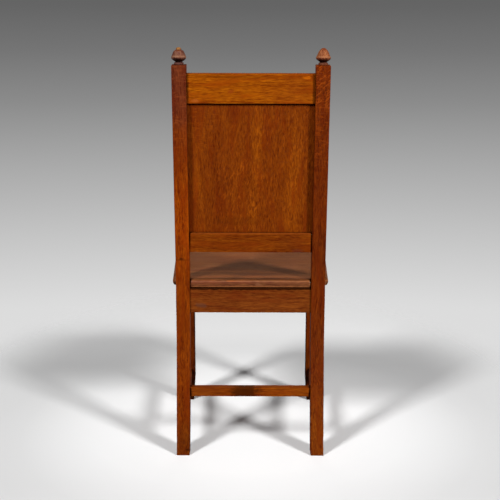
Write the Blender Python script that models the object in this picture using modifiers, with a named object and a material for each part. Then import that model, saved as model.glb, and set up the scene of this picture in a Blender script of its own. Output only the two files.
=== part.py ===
"""Hall chair in oak.

A flat panel sits in grooves between two raked posts and two rails, a turned acorn stands on each
post, and a solid seat board with a moulded edge rests on a mortised frame. Metres, +Z up, the sitter
faces -Y and +X is the sitter's left. The origin is on the floor, under the middle of the chair's
bounding box. While the pieces are made, y = 0 is the rear face of the posts where they stand upright.
"""

import math

import bmesh
import bpy
from mathutils import Matrix, Vector

# Seat board
SEAT_HEIGHT = 0.4625
SEAT_THICKNESS = 0.023
SEAT_DEPTH = 0.410
SEAT_FRONT_WIDTH = 0.447
SEAT_REAR_OVERHANG = 0.01075
SEAT_REAR_SETBACK = 0.003
SEAT_CORNER_RADIUS = 0.014
MOULDING_WIDTH = 0.0105
MOULDING_QUIRK = 0.0018
MOULDING_TIP_DROP = 0.0118
MOULDING_UNDERCUT = 0.007

# Rear posts
POST_SPREAD = 0.3845
POST_WIDTH = 0.0355
POST_DEPTH = 0.036
POST_UPPER_LENGTH = 0.4886
POST_FOOT_WIDTH = 0.0337
BACK_RAKE = math.radians(5.5)
BEND_RISE = 0.0525
BEND_RADIUS = 0.22
KICK_HEIGHT = 0.285
KICK_RADIUS = 0.60
FOOT_KICK = 0.048
FOOT_TAPER_HEIGHT = 0.300

# Finials
FINIAL_HEIGHT = 0.0412
FINIAL_RADIUS = 0.0182
SPIGOT_RADIUS = 0.006
SPIGOT_LENGTH = 0.020

# Back rails and panel, measured along the raked posts
LOWER_RAIL_RISE = 0.0182
LOWER_RAIL_HEIGHT = 0.0507
LOWER_RAIL_SETBACK = 0.0045
TOP_RAIL_DROP = 0.0202
TOP_RAIL_HEIGHT = 0.0723
TOP_RAIL_SETBACK = 0.0075
BACK_RAIL_THICKNESS = 0.022
PANEL_SETBACK = 0.015
PANEL_THICKNESS = 0.010
PANEL_EDGE_THICKNESS = 0.006
PANEL_TONGUE = 0.006
GROOVE_DEPTH = 0.0075
FIELD_MARGIN = 0.028
FIELD_STEP = 0.0015

# Front legs
LEG_SIZE = 0.038
LEG_SETBACK = 0.022
LEG_INSET = 0.0175
LEG_FOOT_SIZE = 0.029
LEG_TAPER_HEIGHT = 0.068

# Seat frame
SEAT_RAIL_HEIGHT = 0.0658
SEAT_RAIL_THICKNESS = 0.022
REAR_RAIL_SETBACK = 0.005
FRONT_RAIL_SETBACK = 0.004
SIDE_RAIL_SETBACK = 0.005

# Stretchers
REAR_STRETCHER_RISE = 0.151
REAR_STRETCHER_HEIGHT = 0.024
REAR_STRETCHER_THICKNESS = 0.022
REAR_STRETCHER_SETBACK = 0.006
SIDE_STRETCHER_RISE = 0.078
SIDE_STRETCHER_HEIGHT = 0.025
SIDE_STRETCHER_THICKNESS = 0.020

# Tenons
TENON_THICKNESS = 0.008
TENON_SHOULDER = 0.006
CROSS_TENON_LENGTH = 0.020
SIDE_TENON_LENGTH = 0.014
STRETCHER_SHOULDER = 0.004

# Corner blocks and the screws that hold the seat
BLOCK_HEIGHT = 0.040
BLOCK_REACH = 0.046
BLOCK_SCREW_SHARE = 0.25
SCREW_HEAD_RADIUS = 0.0042
SCREW_HEAD_HEIGHT = 0.0030
SCREW_HEAD_RIM = 0.0005
SCREW_SHANK_RADIUS = 0.0021
SCREW_TIP_RADIUS = 0.0008
SCREW_TIP_LENGTH = 0.006
SCREW_BITE = 0.012

# Fits
GAP = 0.0003
GLUE_SPACE = 0.001
ARRIS = 0.0012
OVERRUN = 0.010
MERGE = 0.00001

# How finely curves are divided
BEND_STEPS = 5
CORNER_STEPS = 5
MOULDING_STEPS = 5
ARRIS_STEPS = 2
FINIAL_STEPS = 32
SCREW_STEPS = 14

# An edge this sharp is eased, and a face counts as facing a way when its normal is this near to it
SHARP_ANGLE = math.radians(30)
FACING_SHARE = 0.99

# Radius and height of the acorn from its tip to its foot ring
ACORN_SHARES = (
    (0.00, 1.000), (0.17, 0.990), (0.28, 0.955), (0.345, 0.905), (0.345, 0.865), (0.31, 0.832),
    (0.42, 0.822), (0.56, 0.795), (0.66, 0.735), (0.77, 0.640), (0.88, 0.540), (0.965, 0.472),
    (1.00, 0.430), (0.975, 0.392), (0.89, 0.352), (0.73, 0.296), (0.566, 0.250), (0.46, 0.208),
    (0.43, 0.168), (0.48, 0.138), (0.60, 0.121), (0.645, 0.090), (0.645, 0.035), (0.615, 0.000),
)

# Finishes, as sRGB colours
POST_COLOUR = (113, 50, 18)
RAIL_COLOUR = (120, 57, 16)
TOP_RAIL_COLOUR = (144, 72, 16)
PANEL_COLOUR = (106, 44, 9)
SEAT_COLOUR = (112, 66, 40)
FINIAL_COLOUR = (150, 82, 42)
BLOCK_COLOUR = (142, 100, 62)
STEEL_COLOUR = (120, 116, 110)
OAK_ROUGHNESS = 0.42
BLOCK_ROUGHNESS = 0.7
STEEL_ROUGHNESS = 0.45

# Places that follow from the sizes above
BEND_HEIGHT = SEAT_HEIGHT + BEND_RISE
SEAT_REAR_WIDTH = POST_SPREAD + 2 * SEAT_REAR_OVERHANG
LEG_SPREAD = SEAT_FRONT_WIDTH - 2 * LEG_INSET
POST_CENTRE = (POST_SPREAD - POST_WIDTH) / 2
POST_INNER = POST_SPREAD / 2 - POST_WIDTH
POST_FRONT = -POST_DEPTH
KICK_ANGLE = math.atan(FOOT_KICK / KICK_HEIGHT)
LEG_CENTRE = (LEG_SPREAD - LEG_SIZE) / 2
LEG_INNER = LEG_SPREAD / 2 - LEG_SIZE
LEG_FRONT = LEG_SETBACK - SEAT_DEPTH
LEG_REAR = LEG_FRONT + LEG_SIZE
LEG_MIDDLE = (LEG_FRONT + LEG_REAR) / 2
NOTCH_SIDE = POST_INNER - GAP
NOTCH_FRONT = POST_FRONT - GAP
SEAT_FLARE = (SEAT_FRONT_WIDTH - SEAT_REAR_WIDTH) / 2 / (SEAT_DEPTH + NOTCH_FRONT)
SEAT_UNDERSIDE = SEAT_HEIGHT - SEAT_THICKNESS
FRAME_TOP = SEAT_UNDERSIDE - GAP
FRAME_BOTTOM = FRAME_TOP - SEAT_RAIL_HEIGHT
FRAME_MIDDLE = (FRAME_TOP + FRAME_BOTTOM) / 2
LOWER_RAIL_TOP = LOWER_RAIL_RISE + LOWER_RAIL_HEIGHT
TOP_RAIL_TOP = POST_UPPER_LENGTH - TOP_RAIL_DROP
TOP_RAIL_BOTTOM = TOP_RAIL_TOP - TOP_RAIL_HEIGHT
SIDE_RAIL_REAR_X = POST_SPREAD / 2 - SIDE_RAIL_SETBACK - SEAT_RAIL_THICKNESS / 2
SIDE_RAIL_FRONT_X = LEG_SPREAD / 2 - SIDE_RAIL_SETBACK - SEAT_RAIL_THICKNESS / 2
SIDE_RUN = POST_FRONT - LEG_REAR
SIDE_RAIL_SLOPE = (SIDE_RAIL_REAR_X - SIDE_RAIL_FRONT_X) / SIDE_RUN

LEFT = 1
RIGHT = -1
SIDES = (("left", LEFT), ("right", RIGHT))


def linear(colour):
    """An sRGB colour as the linear RGBA that a shader takes."""
    levels = []
    for value in colour:
        level = value / 255
        levels.append(level / 12.92 if level <= 0.04045 else ((level + 0.055) / 1.055) ** 2.4)
    return levels + [1]


def new_collection(name):
    made = bpy.data.collections.new(name)
    bpy.context.scene.collection.children.link(made)
    return made


def new_empty(name, parent, location, tilt):
    empty = bpy.data.objects.new(name, None)
    PARTS.objects.link(empty)
    empty.parent = parent
    empty.location = location
    empty.rotation_euler = (tilt, 0, 0)
    return empty


def finish(name, colour, roughness, metallic):
    material = bpy.data.materials.new(name)
    material.use_nodes = True
    shader = material.node_tree.nodes["Principled BSDF"]
    shader.inputs["Base Color"].default_value = linear(colour)
    shader.inputs["Roughness"].default_value = roughness
    shader.inputs["Metallic"].default_value = metallic
    return material


def add_piece(name, mesh, parent, location, colour, roughness=OAK_ROUGHNESS, metallic=0):
    piece = bpy.data.objects.new(name, mesh)
    PARTS.objects.link(piece)
    piece.parent = parent
    piece.location = location
    mesh.materials.clear()
    mesh.materials.append(finish(name + "_finish", colour, roughness, metallic))
    return piece


def add_tool(name, mesh, parent, location):
    """A solid that cuts or joins other pieces and is no piece itself."""
    tool = bpy.data.objects.new(name, mesh)
    TOOLS.objects.link(tool)
    tool.parent = parent
    tool.location = location
    tool.hide_render = True
    tool.display_type = "WIRE"
    return tool


def combine(piece, tool, operation):
    modifier = piece.modifiers.new(tool.name, "BOOLEAN")
    modifier.operation = operation
    modifier.solver = "EXACT"
    modifier.object = tool


def block(name, size, eased_axis=None):
    """A box centred on its origin. Its edges along one axis can be eased."""
    mesh = bpy.data.meshes.new(name)
    solid = bmesh.new()
    bmesh.ops.create_cube(solid, size=1)
    bmesh.ops.scale(solid, vec=size, verts=solid.verts)
    if eased_axis is not None:
        edges = [edge for edge in solid.edges if edge_axis(edge) == eased_axis]
        ease(solid, edges)
    solid.to_mesh(mesh)
    solid.free()
    return mesh


def edge_axis(edge):
    along = edge.verts[0].co - edge.verts[1].co
    return max(range(3), key=lambda axis: abs(along[axis]))


def ease(solid, edges):
    bmesh.ops.bevel(solid, geom=edges, offset=ARRIS, segments=ARRIS_STEPS, profile=0.5,
                    affect="EDGES", material=-1)


def outline_mesh(name, points, thickness):
    """A flat outline in the XY plane as a solid of this thickness, half of it on each side."""
    curve = bpy.data.curves.new(name, "CURVE")
    curve.dimensions = "2D"
    curve.fill_mode = "BOTH"
    curve.extrude = thickness / 2
    spline = curve.splines.new("POLY")
    spline.points.add(len(points) - 1)
    for place, point in zip(spline.points, points):
        place.co = (point[0], point[1], 0, 1)
    spline.use_cyclic_u = True
    guide = bpy.data.objects.new(name, curve)
    TOOLS.objects.link(guide)
    bpy.context.view_layer.update()
    graph = bpy.context.evaluated_depsgraph_get()
    mesh = bpy.data.meshes.new_from_object(guide.evaluated_get(graph))
    bpy.data.objects.remove(guide, do_unlink=True)
    bpy.data.curves.remove(curve)
    solid = bmesh.new()
    solid.from_mesh(mesh)
    bmesh.ops.remove_doubles(solid, verts=solid.verts, dist=MERGE)
    bmesh.ops.recalc_face_normals(solid, faces=solid.faces)
    for way in (1, -1):
        cap = [face for face in solid.faces if face.normal.z * way > FACING_SHARE]
        bmesh.ops.dissolve_faces(solid, faces=cap, use_verts=False)
    solid.to_mesh(mesh)
    solid.free()
    return mesh


def rounded(corners, steps):
    """Points of an outline whose corners are (x, y, radius). A radius of 0 stays sharp."""
    points = []
    for index, (x, y, radius) in enumerate(corners):
        here = Vector((x, y))
        if not radius:
            points.append(here)
            continue
        before = (Vector(corners[index - 1][:2]) - here).normalized()
        after = (Vector(corners[(index + 1) % len(corners)][:2]) - here).normalized()
        half = before.angle(after) / 2
        centre = here + (before + after).normalized() * radius / math.sin(half)
        start = here + before * radius / math.tan(half) - centre
        end = here + after * radius / math.tan(half) - centre
        turn = math.pi - 2 * half
        for step in range(steps + 1):
            angle = turn * step / steps
            spoke = start * math.sin(turn - angle) + end * math.sin(angle)
            points.append(centre + spoke / math.sin(turn))
    return points


def quarter(start, end, steps):
    """Points of a quarter ellipse that leaves start level and meets end upright."""
    points = []
    for step in range(1, steps + 1):
        angle = math.pi / 2 * step / steps
        across = start[0] + (end[0] - start[0]) * math.sin(angle)
        along = start[1] + (end[1] - start[1]) * (1 - math.cos(angle))
        points.append((across, along))
    return points


def turned(name, profile):
    """A half profile of (radius, height) from top to bottom, for a Screw modifier to turn."""
    mesh = bpy.data.meshes.new(name)
    solid = bmesh.new()
    verts = [solid.verts.new((radius, 0, height)) for radius, height in profile]
    for upper, lower in zip(verts, verts[1:]):
        solid.edges.new((upper, lower))
    solid.to_mesh(mesh)
    solid.free()
    return mesh


def turn(piece, steps):
    screw = piece.modifiers.new("turned", "SCREW")
    screw.steps = steps
    screw.render_steps = steps
    screw.use_merge_vertices = True
    screw.merge_threshold = MERGE
    piece.data.shade_smooth()
    # The turning goes first, ahead of any cut that the piece already has
    piece.modifiers.move(len(piece.modifiers) - 1, 0)


def shear(mesh, slope):
    """Lean a mesh sideways, so that x grows by slope for each unit of y."""
    mesh.transform(Matrix(((1, slope, 0, 0), (0, 1, 0, 0), (0, 0, 1, 0), (0, 0, 0, 1))))


def tenon_bar(name, rail, housings, size, parent, location, slope=0):
    """A bar through the rail that leaves a tenon at each end, with the mortises that take them.

    size is the bar's own size, and its longest side is the one that the tenons lengthen.
    """
    long_axis = max(range(3), key=lambda axis: size[axis])
    tenons = block(name + "_tenons", size)
    shear(tenons, slope)
    combine(rail, add_tool(name + "_tenons", tenons, parent, location), "UNION")
    room = [length + 2 * (GLUE_SPACE if axis == long_axis else GAP) for axis, length in enumerate(size)]
    mortises = block(name + "_mortises", room)
    shear(mortises, slope)
    cutter = add_tool(name + "_mortises", mortises, parent, location)
    for housing in housings:
        combine(housing, cutter, "DIFFERENCE")


def kick(height):
    """How far the rear face of a post stands behind y = 0 at a height below the lower bend."""
    return FOOT_KICK * (1 - height / KICK_HEIGHT)


def post_front(height):
    """The front face of a post at a height below the lower bend."""
    return kick(height) - POST_DEPTH / math.cos(KICK_ANGLE)


def foot_taper(height):
    """How much of a post's inner side is planed away at a height."""
    return (POST_WIDTH - POST_FOOT_WIDTH) * max(0, 1 - height / FOOT_TAPER_HEIGHT)


def post_outline():
    """Side view of a rear post: kicked foot, upright middle and raked back, in (y, z)."""
    top = POST_UPPER_LENGTH
    rake_out, rake_up = math.sin(BACK_RAKE), math.cos(BACK_RAKE)
    corners = [
        (kick(0), 0, 0),
        (0, KICK_HEIGHT, KICK_RADIUS),
        (0, BEND_HEIGHT, BEND_RADIUS),
        (top * rake_out, BEND_HEIGHT + top * rake_up, 0),
        (top * rake_out - POST_DEPTH * rake_up, BEND_HEIGHT + top * rake_up + POST_DEPTH * rake_out, 0),
        (POST_FRONT, BEND_HEIGHT + POST_DEPTH * math.tan(BACK_RAKE / 2), BEND_RADIUS + POST_DEPTH),
        (POST_FRONT, KICK_HEIGHT - POST_DEPTH * math.tan(KICK_ANGLE / 2), KICK_RADIUS + POST_DEPTH),
        (post_front(0), 0, 0),
    ]
    return rounded(corners, BEND_STEPS)


def make_post(name, side):
    mesh = outline_mesh(name, post_outline(), POST_WIDTH)
    solid = bmesh.new()
    solid.from_mesh(mesh)
    whole = solid.verts[:] + solid.edges[:] + solid.faces[:]
    bmesh.ops.bisect_plane(solid, geom=whole, dist=MERGE, plane_co=(0, FOOT_TAPER_HEIGHT, 0),
                           plane_no=(0, 1, 0))
    for vert in solid.verts:
        if vert.co.z * side < 0:
            vert.co.z += side * foot_taper(vert.co.y)
    sharp = [edge for edge in solid.edges if edge.calc_face_angle() > SHARP_ANGLE]
    ease(solid, sharp)
    solid.to_mesh(mesh)
    solid.free()
    post = add_piece(name, mesh, CHAIR, (side * POST_CENTRE, 0, 0), POST_COLOUR)
    post.rotation_euler = (math.pi / 2, 0, math.pi / 2)
    return post


def acorn_profile():
    return [(radius * FINIAL_RADIUS, height * FINIAL_HEIGHT) for radius, height in ACORN_SHARES]


def make_finial(name, side, post):
    """An acorn on the raked top of a post, with a spigot that drops into it."""
    seat = (side * POST_CENTRE, POST_FRONT / 2, POST_UPPER_LENGTH + GAP)
    tip = SPIGOT_LENGTH - ARRIS
    spigot = [(SPIGOT_RADIUS, 0), (SPIGOT_RADIUS, -tip), (SPIGOT_RADIUS - ARRIS, -SPIGOT_LENGTH),
              (0, -SPIGOT_LENGTH)]
    mesh = turned(name, acorn_profile() + spigot)
    finial = add_piece(name, mesh, BACK, seat, FINIAL_COLOUR)
    turn(finial, FINIAL_STEPS)
    hole_radius = SPIGOT_RADIUS + GAP
    hole = [(0, OVERRUN), (hole_radius, OVERRUN), (hole_radius, -SPIGOT_LENGTH - GLUE_SPACE),
            (0, -SPIGOT_LENGTH - GLUE_SPACE)]
    cutter = add_tool(name + "_socket", turned(name + "_socket", hole), BACK, seat)
    turn(cutter, FINIAL_STEPS)
    combine(post, cutter, "DIFFERENCE")


def cross_rail(name, posts, inner, size, tenon_height, parent, centre, colour):
    """A rail across the chair whose ends stand against the posts or legs at inner on each side."""
    length = 2 * (inner - GAP)
    rail = add_piece(name, block(name, (length, size[0], size[1]), eased_axis=0), parent, centre, colour)
    bar = (length + 2 * CROSS_TENON_LENGTH, TENON_THICKNESS, tenon_height)
    tenon_bar(name, rail, posts, bar, parent, centre)
    return rail


def make_panel(housings):
    """The back panel: flat behind, thinned in front to a tongue that its grooves hold."""
    width = 2 * (POST_INNER + PANEL_TONGUE)
    opening = TOP_RAIL_BOTTOM - LOWER_RAIL_TOP
    rest = GROOVE_DEPTH - GAP
    bottom = LOWER_RAIL_TOP - rest
    height = TOP_RAIL_BOTTOM + PANEL_TONGUE - bottom
    mesh = bpy.data.meshes.new("back_panel")
    solid = bmesh.new()
    bmesh.ops.create_cube(solid, size=1)
    bmesh.ops.scale(solid, vec=(width, PANEL_EDGE_THICKNESS, height), verts=solid.verts)
    front = [face for face in solid.faces if face.normal.y < -FACING_SHARE]
    slope_rise = PANEL_THICKNESS - PANEL_EDGE_THICKNESS - FIELD_STEP
    for margin, rise in ((rest + ARRIS, 0), (FIELD_MARGIN, slope_rise), (ARRIS, FIELD_STEP)):
        bmesh.ops.inset_region(solid, faces=front, thickness=margin, depth=rise, use_even_offset=True)
    solid.to_mesh(mesh)
    solid.free()
    depth = -PANEL_SETBACK - PANEL_EDGE_THICKNESS / 2
    add_piece("back_panel", mesh, BACK, (0, depth, bottom + height / 2), PANEL_COLOUR)
    groove = (2 * (POST_INNER + GROOVE_DEPTH), PANEL_EDGE_THICKNESS + 2 * GAP, opening + 2 * GROOVE_DEPTH)
    middle = (0, depth, LOWER_RAIL_TOP + opening / 2)
    cutter = add_tool("panel_groove", block("panel_groove", groove), BACK, middle)
    for housing in housings:
        combine(housing, cutter, "DIFFERENCE")


def make_leg(name, side):
    """A square front leg whose foot narrows on all four sides."""
    mesh = bpy.data.meshes.new(name)
    solid = bmesh.new()
    bmesh.ops.create_cube(solid, size=1)
    bmesh.ops.scale(solid, vec=(LEG_SIZE, LEG_SIZE, FRAME_TOP), verts=solid.verts)
    bmesh.ops.translate(solid, vec=(0, 0, FRAME_TOP / 2), verts=solid.verts)
    whole = solid.verts[:] + solid.edges[:] + solid.faces[:]
    bmesh.ops.bisect_plane(solid, geom=whole, dist=MERGE, plane_co=(0, 0, LEG_TAPER_HEIGHT),
                           plane_no=(0, 0, 1))
    foot = [vert for vert in solid.verts if vert.co.z < MERGE]
    narrowing = LEG_FOOT_SIZE / LEG_SIZE
    bmesh.ops.scale(solid, vec=(narrowing, narrowing, 1), verts=foot)
    sharp = [edge for edge in solid.edges if edge.calc_face_angle() > SHARP_ANGLE]
    ease(solid, sharp)
    solid.to_mesh(mesh)
    solid.free()
    return add_piece(name, mesh, CHAIR, (side * LEG_CENTRE, LEG_MIDDLE, 0), POST_COLOUR)


def make_side_rail(name, side, post, leg):
    """A seat rail from a post's front face to a front leg, spreading towards the front."""
    run = SIDE_RUN - 2 * GAP
    slope = side * SIDE_RAIL_SLOPE
    place = (side * (SIDE_RAIL_REAR_X + SIDE_RAIL_FRONT_X) / 2, (POST_FRONT + LEG_REAR) / 2, FRAME_MIDDLE)
    mesh = block(name, (SEAT_RAIL_THICKNESS, run, SEAT_RAIL_HEIGHT), eased_axis=1)
    shear(mesh, slope)
    rail = add_piece(name, mesh, CHAIR, place, RAIL_COLOUR)
    bar = (TENON_THICKNESS, run + 2 * SIDE_TENON_LENGTH, SEAT_RAIL_HEIGHT - 2 * TENON_SHOULDER)
    tenon_bar(name, rail, (post, leg), bar, CHAIR, place, slope)


def make_side_stretcher(name, side, post, leg):
    """A low stretcher whose rear shoulder is cut to the lean of the kicked foot."""
    low, high = SIDE_STRETCHER_RISE, SIDE_STRETCHER_RISE + SIDE_STRETCHER_HEIGHT
    clear = GAP / math.cos(KICK_ANGLE)
    corners = [(post_front(low) - clear, low), (post_front(high) - clear, high), (LEG_REAR + GAP, high),
               (LEG_REAR + GAP, low)]
    middle_height = (low + high) / 2
    rear, front = post_front(middle_height), LEG_REAR
    slope = side * (POST_CENTRE - LEG_CENTRE) / (rear - front)
    mesh = outline_mesh(name, corners, SIDE_STRETCHER_THICKNESS)
    solid = bmesh.new()
    solid.from_mesh(mesh)
    ease(solid, [edge for edge in solid.edges if edge_axis(edge) == 0])
    solid.to_mesh(mesh)
    solid.free()
    centre = Vector((side * (POST_CENTRE + LEG_CENTRE) / 2, (rear + front) / 2, middle_height))
    upright = Matrix(((0, 0, 1, 0), (1, 0, 0, 0), (0, 1, 0, 0), (0, 0, 0, 1)))
    mesh.transform(Matrix.Translation((0, -centre.y, -centre.z)) @ upright)
    shear(mesh, slope)
    stretcher = add_piece(name, mesh, CHAIR, centre, RAIL_COLOUR)
    bar = (TENON_THICKNESS, rear - front + 2 * SIDE_TENON_LENGTH,
           SIDE_STRETCHER_HEIGHT - 2 * STRETCHER_SHOULDER)
    tenon_bar(name, stretcher, (post, leg), bar, CHAIR, centre, slope)


def seat_profile():
    """The moulded edge from the top arris to the underside, as (inset from the tip, height)."""
    quirk = SEAT_HEIGHT - MOULDING_QUIRK
    tip = SEAT_HEIGHT - MOULDING_TIP_DROP
    shoulder = MOULDING_WIDTH - MOULDING_QUIRK
    ovolo = quarter((shoulder, quirk), (0, tip), MOULDING_STEPS)
    under = quarter((MOULDING_UNDERCUT, SEAT_UNDERSIDE), (0, tip), MOULDING_STEPS)[-2::-1]
    top = [(MOULDING_WIDTH, SEAT_HEIGHT), (MOULDING_WIDTH, quirk), (shoulder, quirk)]
    return top + ovolo + under + [(MOULDING_UNDERCUT, SEAT_UNDERSIDE)]


def seat_side(y):
    """Half of the seat's width at a depth, out to the tip of its moulding."""
    return SEAT_REAR_WIDTH / 2 + SEAT_FLARE * (NOTCH_FRONT - y)


def seat_ring(inset):
    """The seat's outline in plan before it is notched, drawn in by an inset all round."""
    rear = -SEAT_REAR_SETBACK - inset
    front = -SEAT_DEPTH + inset
    drawn_in = inset * math.hypot(1, SEAT_FLARE)
    half = [(seat_side(rear) - drawn_in, rear, 0), (seat_side(front) - drawn_in, front, SEAT_CORNER_RADIUS)]
    other = [(-x, y, radius) for x, y, radius in reversed(half)]
    return rounded(half + other, CORNER_STEPS)


def ring_edges(solid, ring):
    return [solid.edges.get(pair) for pair in zip(ring, ring[1:] + ring[:1])]


def extrude_ring(solid, ring):
    """Extrude a ring of verts and return the new ring, still where the old one is, in the same order."""
    order = {tuple(vert.co): index for index, vert in enumerate(ring)}
    made = bmesh.ops.extrude_edge_only(solid, edges=ring_edges(solid, ring))["geom"]
    fresh = [item for item in made if isinstance(item, bmesh.types.BMVert)]
    return sorted(fresh, key=lambda vert: order[tuple(vert.co)])


def make_seat():
    """The seat board, lofted through the rings of its moulded edge and notched round the posts."""
    mesh = bpy.data.meshes.new("seat_board")
    solid = bmesh.new()
    profile = seat_profile()
    ring = [solid.verts.new((point.x, point.y, SEAT_HEIGHT)) for point in seat_ring(MOULDING_WIDTH)]
    solid.faces.new(ring)
    for inset, height in profile[1:]:
        ring = extrude_ring(solid, ring)
        for vert, point in zip(ring, seat_ring(inset)):
            vert.co = (point.x, point.y, height)
    bmesh.ops.contextual_create(solid, geom=ring_edges(solid, ring))
    bmesh.ops.recalc_face_normals(solid, faces=solid.faces)
    bmesh.ops.translate(solid, vec=(0, 0, -SEAT_HEIGHT), verts=solid.verts)
    solid.to_mesh(mesh)
    solid.free()
    seat = add_piece("seat_board", mesh, CHAIR, (0, 0, SEAT_HEIGHT), SEAT_COLOUR)
    width = SEAT_REAR_WIDTH / 2 + OVERRUN - NOTCH_SIDE
    depth = OVERRUN - NOTCH_FRONT
    for name, side in SIDES:
        notch = block("seat_notch_" + name, (width, depth, SEAT_THICKNESS + 2 * OVERRUN))
        place = (side * (NOTCH_SIDE + width / 2), NOTCH_FRONT + depth / 2, SEAT_HEIGHT - SEAT_THICKNESS / 2)
        combine(seat, add_tool("seat_notch_" + name, notch, CHAIR, place), "DIFFERENCE")
    return seat


def side_rail_inner(y):
    """The inner face of a side seat rail at a depth, on the left side."""
    return SIDE_RAIL_REAR_X + SIDE_RAIL_SLOPE * (y - POST_FRONT) - SEAT_RAIL_THICKNESS / 2


def make_corner_block(name, side, seat, post_corner, rail_face, way):
    """A glue block in a corner of the seat frame, notched round the post or leg that stands there.

    post_corner is the corner that sticks into the frame, rail_face the inner face of the cross rail,
    and way is the direction in y from the cross rail into the frame.
    """
    inner_x, inner_y = post_corner
    near_rail = rail_face + way * GAP
    clear_x, clear_y = inner_x - GAP, inner_y + way * GAP
    reach_y = inner_y + way * BLOCK_REACH
    points = [
        (clear_x, near_rail),
        (clear_x - BLOCK_REACH, near_rail),
        (side_rail_inner(reach_y) - GAP, reach_y),
        (side_rail_inner(clear_y) - GAP, clear_y),
        (clear_x, clear_y),
    ]
    # The screw stands clear of the notch, in the thickest part of the block
    screw_inset = BLOCK_REACH * BLOCK_SCREW_SHARE
    screw_x, screw_y = clear_x - screw_inset, clear_y + way * screw_inset
    outline = [(side * (x - screw_x), y - screw_y) for x, y in points]
    mesh = outline_mesh("corner_block_" + name, outline, BLOCK_HEIGHT)
    place = (side * screw_x, screw_y, FRAME_TOP - BLOCK_HEIGHT / 2)
    made = add_piece("corner_block_" + name, mesh, CHAIR, place, BLOCK_COLOUR, BLOCK_ROUGHNESS)
    make_screw("seat_screw_" + name, (side * screw_x, screw_y, FRAME_TOP - BLOCK_HEIGHT), (made, seat))


def screw_profile(clearance, below):
    """A countersunk screw that points up from its head, from tip to head, as (radius, height)."""
    length = BLOCK_HEIGHT + GAP + SCREW_BITE + clearance
    return [
        (0, length),
        (SCREW_TIP_RADIUS + clearance, length),
        (SCREW_SHANK_RADIUS + clearance, length - SCREW_TIP_LENGTH),
        (SCREW_SHANK_RADIUS + clearance, SCREW_HEAD_HEIGHT + clearance),
        (SCREW_HEAD_RADIUS + clearance, SCREW_HEAD_RIM + clearance),
        (SCREW_HEAD_RADIUS + clearance, -below),
        (0, -below),
    ]


def make_screw(name, head, housings):
    """A seat screw with its hole through the corner block and into the seat."""
    mesh = turned(name, screw_profile(0, 0))
    turn(add_piece(name, mesh, CHAIR, head, STEEL_COLOUR, STEEL_ROUGHNESS, 1), SCREW_STEPS)
    hole = turned(name + "_hole", screw_profile(GAP, OVERRUN))
    cutter = add_tool(name + "_hole", hole, CHAIR, head)
    turn(cutter, SCREW_STEPS)
    for housing in housings:
        combine(housing, cutter, "DIFFERENCE")


def stand_at_origin():
    """Move the chair so that the middle of its bounding box is above the origin."""
    bpy.context.view_layer.update()
    graph = bpy.context.evaluated_depsgraph_get()
    depths = []
    for piece in PARTS.objects:
        if piece.type == "MESH":
            shape = piece.evaluated_get(graph)
            depths += [(shape.matrix_world @ vert.co).y for vert in shape.data.vertices]
    CHAIR.location.y = -(min(depths) + max(depths)) / 2


for old in list(bpy.data.objects):
    bpy.data.objects.remove(old, do_unlink=True)

PARTS = new_collection("hall_chair")
TOOLS = new_collection("cutters")
CHAIR = new_empty("chair", None, (0, 0, 0), 0)
# The back frame's own z runs up the raked posts from their bend, and a point leans back as it rises
BACK = new_empty("raked_back", CHAIR, (0, 0, BEND_HEIGHT), -BACK_RAKE)

posts = [make_post("rear_post_" + name, side) for name, side in SIDES]
legs = [make_leg("front_leg_" + name, side) for name, side in SIDES]

lower_rail = cross_rail(
    "lower_back_rail", posts, POST_INNER, (BACK_RAIL_THICKNESS, LOWER_RAIL_HEIGHT),
    LOWER_RAIL_HEIGHT - 2 * GROOVE_DEPTH - 2 * ARRIS, BACK,
    (0, -LOWER_RAIL_SETBACK - BACK_RAIL_THICKNESS / 2, LOWER_RAIL_RISE + LOWER_RAIL_HEIGHT / 2), RAIL_COLOUR)
top_rail = cross_rail(
    "top_rail", posts, POST_INNER, (BACK_RAIL_THICKNESS, TOP_RAIL_HEIGHT),
    TOP_RAIL_HEIGHT - 2 * GROOVE_DEPTH - 2 * ARRIS, BACK,
    (0, -TOP_RAIL_SETBACK - BACK_RAIL_THICKNESS / 2, TOP_RAIL_TOP - TOP_RAIL_HEIGHT / 2), TOP_RAIL_COLOUR)
make_panel(posts + [lower_rail, top_rail])
for (name, side), post in zip(SIDES, posts):
    make_finial("finial_" + name, side, post)

cross_rail(
    "rear_seat_rail", posts, POST_INNER, (SEAT_RAIL_THICKNESS, SEAT_RAIL_HEIGHT),
    SEAT_RAIL_HEIGHT - 2 * TENON_SHOULDER, CHAIR,
    (0, -REAR_RAIL_SETBACK - SEAT_RAIL_THICKNESS / 2, FRAME_MIDDLE), RAIL_COLOUR)
cross_rail(
    "front_seat_rail", legs, LEG_INNER, (SEAT_RAIL_THICKNESS, SEAT_RAIL_HEIGHT),
    SEAT_RAIL_HEIGHT - 2 * TENON_SHOULDER, CHAIR,
    (0, LEG_FRONT + FRONT_RAIL_SETBACK + SEAT_RAIL_THICKNESS / 2, FRAME_MIDDLE), RAIL_COLOUR)
stretcher_middle = REAR_STRETCHER_RISE + REAR_STRETCHER_HEIGHT / 2
stretcher_inner = POST_INNER + foot_taper(REAR_STRETCHER_RISE + REAR_STRETCHER_HEIGHT)
cross_rail(
    "rear_stretcher", posts, stretcher_inner, (REAR_STRETCHER_THICKNESS, REAR_STRETCHER_HEIGHT),
    REAR_STRETCHER_HEIGHT - 2 * STRETCHER_SHOULDER, CHAIR,
    (0, kick(stretcher_middle) - REAR_STRETCHER_SETBACK - REAR_STRETCHER_THICKNESS / 2, stretcher_middle),
    RAIL_COLOUR)
for (name, side), post, leg in zip(SIDES, posts, legs):
    make_side_rail("side_seat_rail_" + name, side, post, leg)
    make_side_stretcher("side_stretcher_" + name, side, post, leg)

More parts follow.
